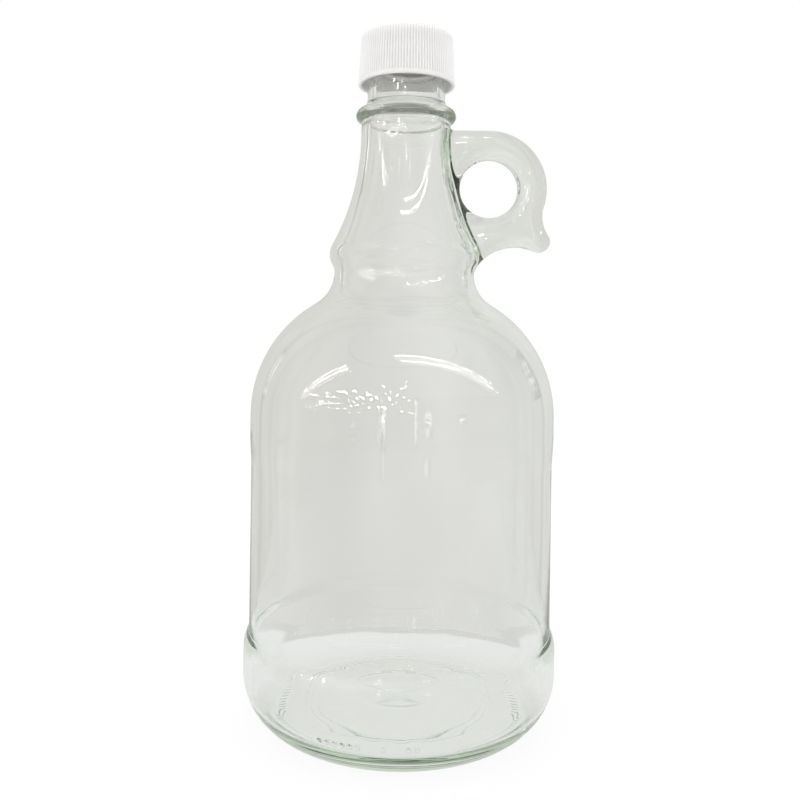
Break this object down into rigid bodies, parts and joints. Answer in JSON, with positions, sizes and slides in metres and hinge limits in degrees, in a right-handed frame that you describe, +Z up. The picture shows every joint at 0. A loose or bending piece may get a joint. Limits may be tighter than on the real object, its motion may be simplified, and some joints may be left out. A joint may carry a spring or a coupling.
{
  "type": "glass bottle",
  "caption": "Clear glass jug with a round finger handle at the neck, a bead under the finish and a ribbed white screw cap.",
  "frame": {"origin": "centre of the standing ring, on the surface that the jug stands on", "axes": "+Z up along the jug's axis, +X towards the finger handle, +Y away from the side shown"},
  "size_m": [0.1066, 0.1068, 0.2337],
  "materials": {
    "glass": "clear soda-lime glass with a faint green edge tint",
    "cap_plastic": "white moulded polypropylene with fine grip ribs"
  },
  "bodies": {
    "root": {"bottle": "glass", "cap": "cap_plastic"}
  },
  "joints": []
}
